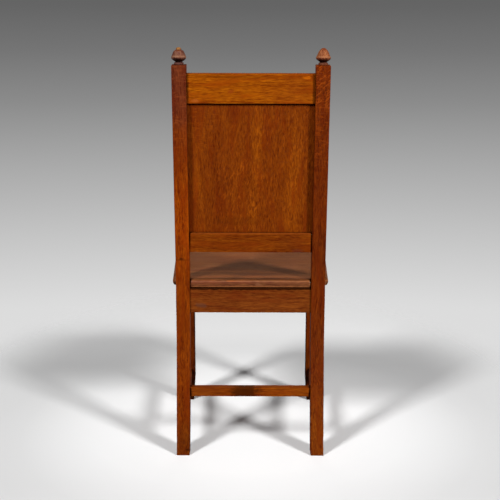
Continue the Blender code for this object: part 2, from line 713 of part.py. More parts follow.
seat_board = make_seat()
rear_rail_face = -REAR_RAIL_SETBACK - SEAT_RAIL_THICKNESS
front_rail_face = LEG_FRONT + FRONT_RAIL_SETBACK + SEAT_RAIL_THICKNESS
for name, side in SIDES:
    make_corner_block("rear_" + name, side, seat_board, (POST_INNER, POST_FRONT), rear_rail_face, -1)
    make_corner_block("front_" + name, side, seat_board, (LEG_INNER, LEG_REAR), front_rail_face, 1)

stand_at_origin()
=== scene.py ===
"""Hall chair in oak: the finish of every piece, with a pale studio floor, soft lamps and a camera.

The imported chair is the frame. Each oak piece is its node's own shape, cut across its length and rubbed
down along its eased edges. The acorns are turned anew, and every surface takes a finish made of nodes.
"""

import math

import bmesh
import bpy
from mathutils import Matrix, Vector, noise


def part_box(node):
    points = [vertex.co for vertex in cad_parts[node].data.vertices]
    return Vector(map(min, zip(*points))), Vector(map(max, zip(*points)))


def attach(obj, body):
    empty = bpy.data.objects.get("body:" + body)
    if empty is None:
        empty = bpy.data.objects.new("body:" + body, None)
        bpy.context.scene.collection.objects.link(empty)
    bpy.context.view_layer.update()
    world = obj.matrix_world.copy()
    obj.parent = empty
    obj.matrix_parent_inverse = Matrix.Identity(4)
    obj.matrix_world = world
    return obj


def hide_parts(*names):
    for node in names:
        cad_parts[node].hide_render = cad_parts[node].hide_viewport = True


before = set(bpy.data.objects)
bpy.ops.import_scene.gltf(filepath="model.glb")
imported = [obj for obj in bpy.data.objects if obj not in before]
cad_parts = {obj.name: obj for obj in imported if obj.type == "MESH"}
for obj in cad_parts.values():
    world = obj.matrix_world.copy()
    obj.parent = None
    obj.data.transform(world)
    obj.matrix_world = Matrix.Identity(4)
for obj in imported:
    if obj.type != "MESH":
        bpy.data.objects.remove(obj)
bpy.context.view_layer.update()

bl_info = {
    "name": "Hall Chair",
    "version": (1, 0, 0),
    "blender": (4, 5, 0),
    "location": "View3D > Sidebar > Hall Chair",
    "description": "Finishes a hall chair in worn oak and lights it on a pale studio floor",
    "category": "Object",
}

BODY = "root"

# The rear face of the posts where they stand upright, how far the seat's rear edge lies inside it, that
# edge, the seat's top and the lean of the back
UPRIGHT_REAR = 0.1806
SEAT_SETBACK = 0.003
SEAT_REAR = UPRIGHT_REAR - SEAT_SETBACK
SEAT_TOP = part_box("seat_board")[1].z
BACK_RAKE = math.radians(5.5)

# Distances in metres below which points are merged and angles below which faces count as flat
MERGE = 0.00001
FLAT_ANGLE = math.radians(0.1)

# The steps of an eased edge turn through angles between these, and sharper edges are left sharp
EASED_FROM = math.radians(10)
EASED_TO = math.radians(60)

# The rubbing down of the edges: coarse spots a metre, how much finer and weaker the fine ones are, and
# what is added before the hollows are left out
WEAR_SPOTS = 38
FINE_WEAR = 2.7
FINE_WEAR_SHARE = 0.5
WEAR_LIFT = 0.35

# The unevenness of a turned acorn: spots a metre, and its depth as a share of the radius
GOUGE_SPOTS = 90
GOUGE_DEPTH = 0.04

# The Mix node's sockets for colours: the colour under, the colour over and the result
MIX_UNDER, MIX_OVER, MIX_RESULT = 6, 7, 2


def srgb(red, green, blue):
    """The linear colour of three sRGB levels from 0 to 255."""
    levels = []
    for level in (red, green, blue):
        share = level / 255
        levels.append(share / 12.92 if share <= 0.04045 else ((share + 0.055) / 1.055) ** 2.4)
    return tuple(levels)


def shaded(colour, share):
    """A colour made darker or lighter by a share."""
    return tuple(level * share for level in colour)


class Signal:
    """The output of a node. Arithmetic on it adds Math nodes."""

    def __init__(self, finish, socket):
        self.finish = finish
        self.socket = socket

    def __add__(self, other):
        return self.finish.maths("ADD", self, other)

    __radd__ = __add__

    def __sub__(self, other):
        return self.finish.maths("SUBTRACT", self, other)

    def __rsub__(self, other):
        return self.finish.maths("SUBTRACT", other, self)

    def __mul__(self, other):
        return self.finish.maths("MULTIPLY", self, other)

    __rmul__ = __mul__


class Finish:
    """A node tree that is written as expressions."""

    def __init__(self, owner):
        owner.use_nodes = True
        self.tree = owner.node_tree
        self.tree.nodes.clear()

    def node(self, kind, settings, inputs, output=0):
        """Add a node, make its settings, fill its sockets and return one of its outputs."""
        made = self.tree.nodes.new(kind)
        for name, value in settings.items():
            if name == "stops":
                self.set_stops(made.color_ramp.elements, value)
            else:
                setattr(made, name, value)
        for key, value in inputs.items():
            if isinstance(value, Signal):
                self.tree.links.new(value.socket, made.inputs[key])
            else:
                made.inputs[key].default_value = value
        return Signal(self, made.outputs[output]) if made.outputs else None

    @staticmethod
    def set_stops(elements, stops):
        while len(elements) < len(stops):
            elements.new(1)
        for element, (position, colour) in zip(elements, stops):
            element.position = position
            element.color = (*colour, 1)

    def maths(self, operation, *values):
        inputs = {index: value for index, value in enumerate(values)}
        return self.node("ShaderNodeMath", {"operation": operation}, inputs)

    def place(self):
        """Where a point of the surface lies, in metres."""
        return self.node("ShaderNodeTexCoord", {}, {}, "Object")

    def parts(self, vector):
        """The three components of a vector."""
        split = self.node("ShaderNodeSeparateXYZ", {}, {0: vector})
        return [Signal(self, socket) for socket in split.socket.node.outputs]

    def vector(self, x, y, z):
        """A vector of three components."""
        return self.node("ShaderNodeCombineXYZ", {}, {0: x, 1: y, 2: z})

    def stretch(self, vector, factors):
        """A vector or a colour times a factor for each of its parts."""
        return self.node("ShaderNodeVectorMath", {"operation": "MULTIPLY"}, {0: vector, 1: factors})

    def cloud(self, vector, factors, seed, detail=2, distortion=0):
        """Noise around zero, with this many spots a metre along each axis."""
        fac = self.node("ShaderNodeTexNoise", {"noise_dimensions": "4D"}, {
            "Vector": self.stretch(vector, factors), "W": seed, "Scale": 1, "Detail": detail,
            "Distortion": distortion})
        return fac - 0.5

    def rise(self, value, low, high):
        """A smooth step from 0 at low to 1 at high."""
        return self.node("ShaderNodeMapRange", {"interpolation_type": "SMOOTHSTEP"}, {
            "Value": value, "From Min": low, "From Max": high})

    def read_off(self, value, stops):
        """A level read off pairs of a value and its level."""
        low, high = stops[0][0], stops[-1][0]
        share = self.node("ShaderNodeMapRange", {}, {"Value": value, "From Min": low, "From Max": high})
        ramp = [((place - low) / (high - low), (level, level, level)) for place, level in stops]
        return self.node("ShaderNodeValToRGB", {"stops": ramp}, {0: share})

    def mix(self, mask, under, over):
        """One colour over another where the mask says."""
        inputs = {0: mask}
        for key, colour in ((MIX_UNDER, under), (MIX_OVER, over)):
            inputs[key] = colour if isinstance(colour, Signal) else (*colour, 1)
        return self.node("ShaderNodeMix", {"data_type": "RGBA"}, inputs, MIX_RESULT)

    def bump(self, height, distance):
        """A normal that follows a height, which reaches this distance at 1."""
        return self.node("ShaderNodeBump", {}, {"Height": height, "Distance": distance})

    def edges(self, radius, low, high):
        """A mask of the outer edges, where the surface turns within a radius."""
        turned = self.node("ShaderNodeBevel", {"samples": 6}, {"Radius": radius})
        normal = self.node("ShaderNodeNewGeometry", {}, {}, "Normal")
        agreement = self.node(
            "ShaderNodeVectorMath", {"operation": "DOT_PRODUCT"}, {0: turned, 1: normal}, "Value")
        return self.rise(1 - agreement, low, high)

    def corners(self, distance, low, high):
        """A mask of the inner corners, where little light reaches."""
        open_share = self.node("ShaderNodeAmbientOcclusion", {"samples": 8}, {"Distance": distance}, "AO")
        return self.rise(1 - open_share, low, high)

    def spot(self, place, centre, reach):
        """How far a point lies from a centre, where 1 is the rim of an ellipsoid of this reach."""
        offset = self.node("ShaderNodeVectorMath", {"operation": "SUBTRACT"}, {0: place, 1: centre})
        return self.node("ShaderNodeVectorMath", {"operation": "LENGTH"}, {
            0: self.stretch(offset, [1 / length for length in reach])}, "Value")

    def principled(self, inputs):
        """Close the tree with a Principled shader."""
        shader = self.node("ShaderNodeBsdfPrincipled", {}, inputs)
        self.node("ShaderNodeOutputMaterial", {}, {"Surface": shader})


def new_finish(name):
    """A material and the tree that its finish is written in."""
    material = bpy.data.materials.new(name)
    return material, Finish(material)


# How wood grain lies in a piece: the axes along it, across it and into it
GRAIN_UP = (2, 0, 1)
GRAIN_ACROSS = (0, 2, 1)
GRAIN_ALONG_SEAT = (0, 1, 2)
GRAIN_FORWARD = (1, 2, 0)

# Spots a metre of each layer of the wood, along the grain, across it and into it
ZONES = (3, 26, 26)
BANDS = (3, 90, 90)
STREAKS = (16, 240, 240)
FIBRES = (70, 560, 560)
PORES = (60, 1300, 1300)
RED_ZONES = (10, 55, 55)
RAY_FLECKS = (52, 215, 52)

# Spots a metre that make the rims of shades, of flecked patches, of marks and of rubbed edges uneven
SHADE_RIM = (22, 22, 22)
FLECK_RIM = (40, 40, 40)
MARK_RIM = (90, 90, 90)
WEAR_RIM = (60, 60, 60)

# Strength of the zones, bands, streaks and fibres of the figure: open grain and close grain
OPEN_GRAIN = (0.6, 0.9, 1.5, 1.9)
CLOSE_GRAIN = (0.5, 0.4, 0.7, 2.0)

# How much brighter than its mean colour the stain gets in its lightest streaks, in red, green and blue.
# The darkest streaks are as much dimmer.
STREAK_GAIN = (1.46, 1.66, 1.60)

# How the stain turns where it is redder, and how its lightest streaks brighten where they are rubbed
RED_SHIFT = (0.96, 0.70, 0.75)
RUBBED = (1.3, 1.3, 1.3)

# How strongly the redder zones, the pores and the dark wax with painted corner shade show, and how dark
# the last two are
RED_STRENGTH = 0.6
PORE_STRENGTH, PORE_SHADE = 0.45, 0.35
WAX_AND_SHADE_STRENGTH, WAX_AND_SHADE_DARKNESS = 0.6, 0.2


def oak(name, seed, grain, colour, fleck=(), tones=(), wear=0.6, shades=(), marks=(), roughness=0.45,
        shine=0.03, figure=OPEN_GRAIN):
    """Stained oak under worn wax, whose mean colour is the one given.

    Broad and narrow streaks follow the grain and dark pores run with it. Outer edges are rubbed
    lighter, and inner corners take dark wax and painted shade where little light reaches them.
    Each fleck is a patch of ray fleck: its turn from square across the grain, its strength, its
    centre and its reach. Tones are places along the grain with the level of the colour there, where
    0.5 is the mean. Each shade is a soft patch where the mean colour is another, and each mark a
    small one on top: a centre, a reach, a strength and a tint. Some of them are painted light or shade.
    """
    wood = bpy.context.scene.hall_chair_wood
    material, f = new_finish(name)
    here = f.place()
    axes = f.parts(here)
    along, across, into = (axes[axis] for axis in grain)
    fibre = f.vector(along, across, into)

    zones = f.cloud(fibre, ZONES, seed, 2, 0.5)
    bands = f.cloud(fibre, BANDS, seed + 3, 2, 0.6)
    streaks = f.cloud(fibre, STREAKS, seed + 5, 2, 0.5)
    fibres = f.cloud(fibre, FIBRES, seed + 7, 2)
    pores = f.rise(f.cloud(fibre, PORES, seed + 9, 1), 0.06, 0.18)
    red = f.rise(f.cloud(fibre, RED_ZONES, seed + 15, 2), -0.04, 0.16)

    layers = [layer * share for layer, share in zip((zones, bands, streaks, fibres), figure)]
    tone = 0.5 + wood.figure * (layers[0] + layers[1] + layers[2] + layers[3])
    if tones:
        tone = tone + f.read_off(along, tones) - 0.5
    mean = colour
    for centre, reach, strength, tint in shades:
        distance = f.spot(here, centre, reach) + f.cloud(here, SHADE_RIM, seed + 21, 2)
        mean = f.mix((1 - f.rise(distance, 0, 1.1)) * strength, mean, tint)
    light = f.stretch(mean, STREAK_GAIN)
    base = f.mix(tone, f.stretch(mean, [2 - gain for gain in STREAK_GAIN]), light)
    base = f.mix(red * RED_STRENGTH, base, f.stretch(mean, RED_SHIFT))

    flakes = 0
    for turn, strength, centre, reach in fleck:
        ray = f.vector(across * math.cos(turn) + along * math.sin(turn),
                       along * math.cos(turn) - across * math.sin(turn), into)
        strokes = f.rise(f.cloud(ray, RAY_FLECKS, seed + 11 + turn, 2, 0.8), 0.03, 0.14)
        distance = f.spot(here, centre, reach) + f.cloud(here, FLECK_RIM, seed + 13, 1)
        flakes = flakes + strokes * (1 - f.rise(distance, 0.55, 1.15)) * strength
    if fleck:
        base = f.mix(flakes, base, f.stretch(light, RUBBED))
    base = f.mix(pores * PORE_STRENGTH, base, shaded(colour, PORE_SHADE))
    for centre, reach, strength, tint in marks:
        distance = f.spot(here, centre, reach) + f.cloud(here, MARK_RIM, seed + 17, 2) * 1.2
        base = f.mix((1 - f.rise(distance, 0.45, 1.05)) * strength, base, tint)

    rubbed = f.edges(wood.edge_width, 0.01, 0.16)
    broken = f.rise(f.cloud(here, WEAR_RIM, seed + 19, 3), -0.10, 0.14)
    base = f.mix(rubbed * broken * wear, base, f.stretch(light, RUBBED))
    # Dark wax and painted shade: the inner corners are darkened where the ambient occlusion finds little
    # light
    wax = f.corners(wood.wax_and_shade_width, 0.25, 0.70)
    base = f.mix(wax * WAX_AND_SHADE_STRENGTH, base, shaded(colour, WAX_AND_SHADE_DARKNESS))

    gloss = roughness + 0.16 * (zones + fibres) + 0.12 * wax
    height = streaks * 0.3 - pores * 0.5 + zones * 0.8
    f.principled({
        "Base Color": base, "Roughness": gloss, "Specular IOR Level": shine,
        "Normal": f.bump(height, wood.grain_depth)})
    return material


def softwood(name, seed):
    """Sawn softwood that was never finished, with saw marks across its grain."""
    wood = bpy.context.scene.hall_chair_wood
    material, f = new_finish(name)
    colour = tuple(wood.block)
    here = f.place()
    streaks = f.cloud(here, (160, 12, 160), seed, 3)
    saw = f.cloud(here, (20, 700, 20), seed + 3, 1)
    mottle = f.cloud(here, (20, 20, 20), seed + 5, 3)
    base = f.mix(0.5 + streaks * 1.2 + mottle * 0.8, shaded(colour, 0.6), shaded(colour, 1.3))
    # Painted shade: the blocks' inner corners are darkened where the ambient occlusion finds little light
    base = f.mix(f.corners(wood.wax_and_shade_width, 0.3, 0.9) * 0.5, base, shaded(colour, 0.3))
    f.principled({
        "Base Color": base, "Roughness": 0.72 + mottle * 0.2,
        "Normal": f.bump(saw * 0.6 + streaks * 0.4, wood.grain_depth)})
    return material


def steel(name, seed):
    """Dull screw steel with a little rust."""
    wood = bpy.context.scene.hall_chair_wood
    material, f = new_finish(name)
    here = f.place()
    rust = f.rise(f.cloud(here, (900, 900, 900), seed, 3), 0.02, 0.16)
    scratches = f.cloud(here, (3000, 500, 500), seed + 3, 2)
    f.principled({
        "Base Color": f.mix(rust, tuple(wood.steel), srgb(88, 46, 26)),
        "Metallic": 1 - rust * 0.8, "Roughness": 0.42 + scratches * 0.3 + rust * 0.3,
        "Normal": f.bump(scratches, wood.grain_depth)})
    return material


def finish_piece(piece, node, material):
    """Give a new piece its finish and let it stand for its node."""
    piece.data.materials.append(material)
    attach(piece, BODY)
    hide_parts(node)


def new_piece(name, solid):
    """A mesh object at the origin, shaded smooth except across its sharp edges."""
    mesh = bpy.data.meshes.new(name)
    solid.to_mesh(mesh)
    solid.free()
    mesh.shade_smooth()
    mesh.set_sharp_from_angle(angle=EASED_TO)
    piece = bpy.data.objects.new(name, mesh)
    bpy.context.scene.collection.objects.link(piece)
    return piece


def rub_down(solid, depth, seed):
    """Move the eased edges in by a noise, as use does. Flat faces and sharp edges stay."""
    solid.normal_update()
    moves = []
    for vert in solid.verts:
        turns = [edge.calc_face_angle(0) for edge in vert.link_edges]
        eased = [turn for turn in turns if EASED_FROM < turn]
        if not eased or max(eased) > EASED_TO:
            continue
        spot = vert.co * WEAR_SPOTS + Vector((seed, seed, seed))
        amount = noise.noise(spot) + FINE_WEAR_SHARE * noise.noise(spot * FINE_WEAR)
        share = max(eased) / EASED_TO
        moves.append((vert, vert.normal * -depth * share * max(0, WEAR_LIFT + amount)))
    for vert, move in moves:
        vert.co += move


def oak_piece(node, slot, name, seed, grain, colour, **finish):
    """A node's own shape in oak, cut across its length and rubbed down along its eased edges."""
    wood = bpy.context.scene.hall_chair_wood
    material = oak(name, seed, grain, colour, **finish)
    solid = bmesh.new()
    solid.from_mesh(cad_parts[node].data)
    bmesh.ops.remove_doubles(solid, verts=solid.verts, dist=MERGE)
    bmesh.ops.dissolve_limit(solid, angle_limit=FLAT_ANGLE, verts=solid.verts, edges=solid.edges)
    low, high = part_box(node)
    size = high - low
    axis = max(range(3), key=lambda index: size[index])
    across = Vector([1 if index == axis else 0 for index in range(3)])
    count = round(size[axis] / wood.cut_spacing)
    for step in range(1, count):
        cut = low + across * size[axis] * step / count
        whole = solid.verts[:] + solid.edges[:] + solid.faces[:]
        bmesh.ops.bisect_plane(solid, geom=whole, dist=MERGE, plane_co=cut, plane_no=across)
    rub_down(solid, wood.wear_depth, seed)
    piece = new_piece("oak_" + node, solid)
    piece.modifiers.new("even shading", "WEIGHTED_NORMAL").keep_sharp = True
    finish_piece(piece, node, material)


# Radius and height of each acorn from its tip to its foot ring, as shares of its radius and height
LEFT_ACORN_SHARES = (
    (0.00, 0.996), (0.16, 0.988), (0.29, 0.958), (0.355, 0.916), (0.37, 0.880), (0.37, 0.850),
    (0.46, 0.832), (0.61, 0.796), (0.72, 0.735), (0.80, 0.660), (0.89, 0.560), (0.965, 0.484),
    (1.00, 0.435), (0.990, 0.385), (0.950, 0.335), (0.86, 0.285), (0.73, 0.242), (0.58, 0.200),
    (0.48, 0.165), (0.48, 0.138), (0.60, 0.121), (0.645, 0.090), (0.645, 0.035), (0.615, 0.000),
)
RIGHT_ACORN_SHARES = (
    (0.00, 0.975), (0.15, 0.966), (0.29, 0.935), (0.40, 0.890), (0.49, 0.845), (0.58, 0.800),
    (0.66, 0.745), (0.73, 0.680), (0.80, 0.605), (0.87, 0.535), (0.94, 0.480), (0.985, 0.442),
    (1.00, 0.415), (0.985, 0.375), (0.945, 0.330), (0.86, 0.285), (0.73, 0.242), (0.58, 0.200),
    (0.48, 0.165), (0.48, 0.138), (0.60, 0.121), (0.645, 0.090), (0.645, 0.035), (0.615, 0.000),
)

# Level of the colour up an acorn, from its foot ring to its tip, as shares of its height. The dark levels
# under the rim are painted shade, and the light levels on the rim, and on the left acorn's tip, are
# painted highlights.
LEFT_ACORN_TONE_SHARES = (
    (0.0, 0.30), (0.11, 0.34), (0.15, 0.05), (0.33, 0.10), (0.40, 0.80), (0.45, 0.95), (0.52, 0.45),
    (0.80, 0.42), (0.88, 0.75), (1.0, 0.80),
)
RIGHT_ACORN_TONE_SHARES = (
    (0.0, 0.25), (0.11, 0.30), (0.15, 0.05), (0.33, 0.10), (0.40, 0.70), (0.45, 0.80), (0.55, 0.55),
    (0.80, 0.60), (1.0, 0.50),
)

# Patches of another colour on each acorn: how far up it they lie, how far aside in metres, their reach,
# their strength and their tint. Those under and on the rim, and on the left acorn's tip, are painted
# shade and painted highlights; the rest are colour.
LEFT_ACORN_MARKS = (
    # Painted shade under the rim
    (0.245, 0, (0.030, 0.030, 0.0070), 0.95, (28, 10, 5)),
    (0.070, 0, (0.030, 0.030, 0.0040), 0.60, (88, 60, 58)),
    # Painted highlight on the rim
    (0.450, 0, (0.030, 0.030, 0.0026), 0.70, (144, 104, 80)),
    (0.640, 0, (0.008, 0.030, 0.0060), 0.60, (100, 62, 57)),
    # Painted highlight on the tip
    (0.930, 0, (0.010, 0.030, 0.0050), 0.90, (152, 104, 52)),
    (0.805, 0, (0.007, 0.030, 0.0024), 0.80, (104, 48, 12)),
)
RIGHT_ACORN_MARKS = (
    # Painted shade under the rim
    (0.235, 0, (0.030, 0.030, 0.0070), 0.95, (28, 9, 4)),
    (0.070, 0, (0.030, 0.030, 0.0040), 0.60, (84, 54, 46)),
    # Painted highlight on the rim
    (0.440, 0, (0.030, 0.030, 0.0026), 0.70, (158, 106, 74)),
    (0.880, -0.002, (0.008, 0.030, 0.0055), 0.75, (112, 50, 26)),
)


def smooth_profile(points, steps):
    """A Catmull-Rom curve through the points, with this many steps between each two."""
    ends = [points[0]] + list(points) + [points[-1]]
    curve = []
    for before, start, end, after in zip(ends, ends[1:], ends[2:], ends[3:]):
        for step in range(steps):
            t = step / steps
            weights = (
                (-t + 2 * t ** 2 - t ** 3) / 2, (2 - 5 * t ** 2 + 3 * t ** 3) / 2,
                (t + 4 * t ** 2 - 3 * t ** 3) / 2, (-t ** 2 + t ** 3) / 2)
            spots = (before, start, end, after)
            radius = sum(weight * spot[0] for weight, spot in zip(weights, spots))
            height = sum(weight * spot[1] for weight, spot in zip(weights, spots))
            curve.append((max(0, radius), height))
    return curve + [points[-1]]


def turn_acorn(node, shares, material, seed):
    """An acorn turned about its raked axis, a little uneven as a hand-held gouge leaves it."""
    wood = bpy.context.scene.hall_chair_wood
    foot_centre, radius, height, lean = acorn_place(node)
    curve = smooth_profile(shares, wood.profile_steps)
    profile = [(share * radius, rise * height) for share, rise in curve]
    profile[0] = (0, profile[0][1])
    solid = bmesh.new()
    verts = [solid.verts.new((reach, 0, rise)) for reach, rise in profile]
    verts.append(solid.verts.new((0, 0, 0)))
    edges = [solid.edges.new(pair) for pair in zip(verts, verts[1:])]
    bmesh.ops.spin(solid, geom=verts + edges, cent=(0, 0, 0), axis=(0, 0, 1), angle=math.tau,
                   steps=wood.acorn_steps, use_merge=True)
    bmesh.ops.remove_doubles(solid, verts=solid.verts, dist=MERGE)
    bmesh.ops.recalc_face_normals(solid, faces=solid.faces)
    for vert in solid.verts:
        spot = vert.co * GOUGE_SPOTS + Vector((seed, 0, 0))
        vert.co -= Vector((vert.co.x, vert.co.y, 0)) * abs(noise.noise(spot)) * GOUGE_DEPTH
    bmesh.ops.transform(solid, matrix=Matrix.Translation(foot_centre) @ lean, verts=solid.verts)
    finish_piece(new_piece("turned_" + node, solid), node, material)


def acorn_place(node):
    """The middle of an acorn's foot, its radius and height, and the turn onto its raked axis."""
    lean = Matrix.Rotation(-BACK_RAKE, 4, "X")
    upright = [lean.inverted() @ vert.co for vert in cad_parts[node].data.vertices]
    post = "rear_post_" + node.split("_")[1]
    post_top = max((lean.inverted() @ vert.co).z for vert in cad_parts[post].data.vertices)
    outside = [point for point in upright if point.z > post_top]
    foot = min(point.z for point in outside)
    middle_x = (min(point.x for point in outside) + max(point.x for point in outside)) / 2
    middle_y = (min(point.y for point in outside) + max(point.y for point in outside)) / 2
    radius = (max(point.x for point in outside) - min(point.x for point in outside)) / 2
    height = max(point.z for point in outside) - foot
    return lean @ Vector((middle_x, middle_y, foot)), radius, height, lean


class HallChairWood(bpy.types.PropertyGroup):
    """Colours, wear and fineness of the chair's pieces."""

    post: bpy.props.FloatVectorProperty(
        name="Left post and legs", description="Stain on the left rear post and the front legs",
        subtype="COLOR", size=3, min=0, max=1, default=srgb(122, 49, 3))
    dark_post: bpy.props.FloatVectorProperty(
        name="Right post", description="Stain on the right rear post", subtype="COLOR",
        size=3, min=0, max=1, default=srgb(105, 40, 5))
    rail: bpy.props.FloatVectorProperty(
        name="Rails", description="Stain on the lower back rail and the stretchers", subtype="COLOR",
        size=3, min=0, max=1, default=srgb(123, 55, 6))
    apron: bpy.props.FloatVectorProperty(
        name="Seat rails", description="Stain on the rails under the seat", subtype="COLOR",
        size=3, min=0, max=1, default=srgb(112, 52, 14))
    top_rail: bpy.props.FloatVectorProperty(
        name="Top rail", description="Faded stain on the top rail", subtype="COLOR",
        size=3, min=0, max=1, default=srgb(151, 74, 4))
    panel: bpy.props.FloatVectorProperty(
        name="Back panel", description="Stain on the back panel", subtype="COLOR",
        size=3, min=0, max=1, default=srgb(117, 50, 5))
    seat: bpy.props.FloatVectorProperty(
        name="Seat", description="Worn stain on the seat board", subtype="COLOR",
        size=3, min=0, max=1, default=srgb(135, 77, 39))
    left_finial: bpy.props.FloatVectorProperty(
        name="Left finial", description="Rubbed stain on the left acorn", subtype="COLOR",
        size=3, min=0, max=1, default=srgb(110, 68, 52))
    right_finial: bpy.props.FloatVectorProperty(
        name="Right finial", description="Rubbed stain on the right acorn", subtype="COLOR",
        size=3, min=0, max=1, default=srgb(134, 76, 46))
    block: bpy.props.FloatVectorProperty(
        name="Corner blocks", description="Bare softwood under the seat", subtype="COLOR",
        size=3, min=0, max=1, default=srgb(142, 100, 62))
    steel: bpy.props.FloatVectorProperty(
        name="Screws", description="Dull steel of the seat screws", subtype="COLOR",
        size=3, min=0, max=1, default=srgb(120, 116, 110))
    figure: bpy.props.FloatProperty(
        name="Figure", description="Contrast of the streaks in the wood", subtype="FACTOR",
        min=0, max=2, default=1)
    grain_depth: bpy.props.FloatProperty(
        name="Grain depth", description="Height of the grain under the wax", unit="LENGTH",
        min=0, max=0.002, default=0.0004)
    edge_width: bpy.props.FloatProperty(
        name="Rubbed edge", description="Width of the lighter rubbing along an edge", unit="LENGTH",
        min=0, max=0.01, default=0.0022)
    # The reach of the corner darkening, which is dark wax and painted shade
    wax_and_shade_width: bpy.props.FloatProperty(
        name="Dark wax", description="Reach of the dark wax out of a corner", unit="LENGTH",
        min=0, max=0.05, default=0.008)
    wear_depth: bpy.props.FloatProperty(
        name="Wear depth", description="Deepest rubbing down of an eased edge", unit="LENGTH",
        min=0, max=0.002, default=0.0006)
    cut_spacing: bpy.props.FloatProperty(
        name="Cut spacing", description="Distance between the cuts that let an edge waver", unit="LENGTH",
        min=0.002, max=0.1, default=0.009)
    acorn_steps: bpy.props.IntProperty(
        name="Acorn steps", description="Steps round an acorn", min=12, max=256, default=96)
    profile_steps: bpy.props.IntProperty(
        name="Profile steps", description="Steps between two points of an acorn's profile",
        min=1, max=16, default=4)


class HallChairStage(bpy.types.PropertyGroup):
    """Floor, light and camera."""

    floor: bpy.props.FloatVectorProperty(
        name="Floor", description="Colour of the floor as it lights the chair", subtype="COLOR",
        size=3, min=0, max=1, default=(0.22, 0.22, 0.22))
    fill: bpy.props.FloatProperty(
        name="Fill", description="Light that comes from all sides", min=0, max=2, default=0.02)
    left_power: bpy.props.FloatProperty(
        name="Left lamp", description="Power of the lamp at the left of the picture", unit="POWER",
        min=0, max=5000, default=272)
    right_power: bpy.props.FloatProperty(
        name="Right lamp", description="Power of the lamp at the right of the picture", unit="POWER",
        min=0, max=5000, default=318)
    front_power: bpy.props.FloatProperty(
        name="Front lamp", description="Power of the low, wide lamp before the chair", unit="POWER",
        min=0, max=5000, default=85)
    sheen_power: bpy.props.FloatProperty(
        name="Sheen lamp", description="Power of the lamp that shows only in the wax", unit="POWER",
        min=0, max=5000, default=10)
    sheen_colour: bpy.props.FloatVectorProperty(
        name="Sheen colour", description="Warm colour of the sheen lamp", subtype="COLOR",
        size=3, min=0, max=1, default=(1, 0.36, 0.08))
    camera_height: bpy.props.FloatProperty(
        name="Camera height", description="Height of the lens above the floor", unit="LENGTH",
        min=0.1, max=5, default=0.998)
    camera_distance: bpy.props.FloatProperty(
        name="Camera distance", description="Distance of the lens behind the origin", unit="LENGTH",
        min=0.5, max=10, default=2.4136)
    camera_pitch: bpy.props.FloatProperty(
        name="Camera pitch", description="How far the camera looks down", subtype="ANGLE",
        min=0, max=math.pi / 2, default=math.radians(11.58))
    camera_roll: bpy.props.FloatProperty(
        name="Camera roll", description="Lean of the camera", subtype="ANGLE",
        min=-0.1, max=0.1, default=math.radians(0.147))
    camera_lens: bpy.props.FloatProperty(
        name="Lens", description="Focal length", unit="CAMERA", min=10, max=300, default=64.3)
    camera_shift: bpy.props.FloatProperty(
        name="Camera shift", description="Sideways shift of the lens, as a share of the picture",
        min=-0.1, max=0.1, default=-0.00116)


class HALLCHAIR_OT_posts(bpy.types.Operator):
    """Finish the two rear posts"""
    bl_idname = "hallchair.posts"
    bl_label = "Rear Posts"

    def execute(self, context):
        wood = context.scene.hall_chair_wood
        colour = tuple(wood.post)
        level, steep = math.radians(4), math.radians(-38)
        knot = ((0.1777, UPRIGHT_REAR, 0.517), (0.006, 0.02, 0.0045), 0.8, shaded(colour, 0.3))
        split = ((0.1740, UPRIGHT_REAR, 0.514), (0.026, 0.02, 0.0024), 0.5, shaded(colour, 0.45))
        chip = ((0.164, 0.226, 0.015), (0.007, 0.012, 0.0035), 0.9, shaded(colour, 0.2))
        shades = (
            ((0.17, 0.22, 1.00), (0.2, 0.2, 0.26), 0.85, srgb(92, 40, 22)),
            ((0.17, 0.19, 0.61), (0.2, 0.2, 0.16), 0.8, srgb(153, 66, 4)),
            ((0.17, 0.18, 0.26), (0.2, 0.2, 0.26), 0.5, srgb(111, 46, 5)),
            ((0.17, 0.20, 0.00), (0.2, 0.2, 0.20), 0.7, srgb(92, 42, 6)),
        )
        fleck = ((level, 0.5, (0.175, 0.22, 0.95), (0.05, 0.2, 0.16)),)
        oak_piece("rear_post_left", "post_oak", "post_oak_left", 1.3, GRAIN_UP, colour,
                  fleck=fleck, shades=shades, marks=(knot, split, chip))
        shades = (
            ((-0.17, 0.20, 0.05), (0.2, 0.2, 0.16), 0.6, srgb(122, 58, 8)),
            ((-0.17, 0.18, 0.27), (0.2, 0.2, 0.14), 0.5, srgb(97, 41, 9)),
            ((-0.17, 0.19, 0.52), (0.2, 0.2, 0.10), 0.6, srgb(94, 37, 7)),
        )
        fleck = (
            (steep, 1.0, (-0.174, 0.22, 0.965), (0.05, 0.2, 0.07)),
            (level, 0.6, (-0.176, 0.21, 0.88), (0.05, 0.2, 0.13)),
        )
        oak_piece("rear_post_right", "post_oak", "post_oak_right", 7.9, GRAIN_UP, tuple(wood.dark_post),
                  fleck=fleck, shades=shades)
        return {"FINISHED"}


class HALLCHAIR_OT_legs(bpy.types.Operator):
    """Finish the two front legs"""
    bl_idname = "hallchair.legs"
    bl_label = "Front Legs"

    def execute(self, context):
        colour = tuple(context.scene.hall_chair_wood.post)
        # Painted shadow: the rear faces of the legs' lower parts are darkened, most at the feet
        painted_shadow_rear = ((0, -0.165, 0), (0.4, 0.042, 0.20), 0.95, srgb(30, 12, 3))
        dark_foot = ((0, -0.165, 0.02), (0.4, 0.030, 0.12), 0.8, srgb(28, 11, 4))
        for side, seed in (("left", 13.1), ("right", 17.7)):
            oak_piece("front_leg_" + side, "leg_oak", "leg_oak_" + side, seed, GRAIN_UP, colour,
                      shades=(painted_shadow_rear,), marks=(dark_foot,))
        return {"FINISHED"}


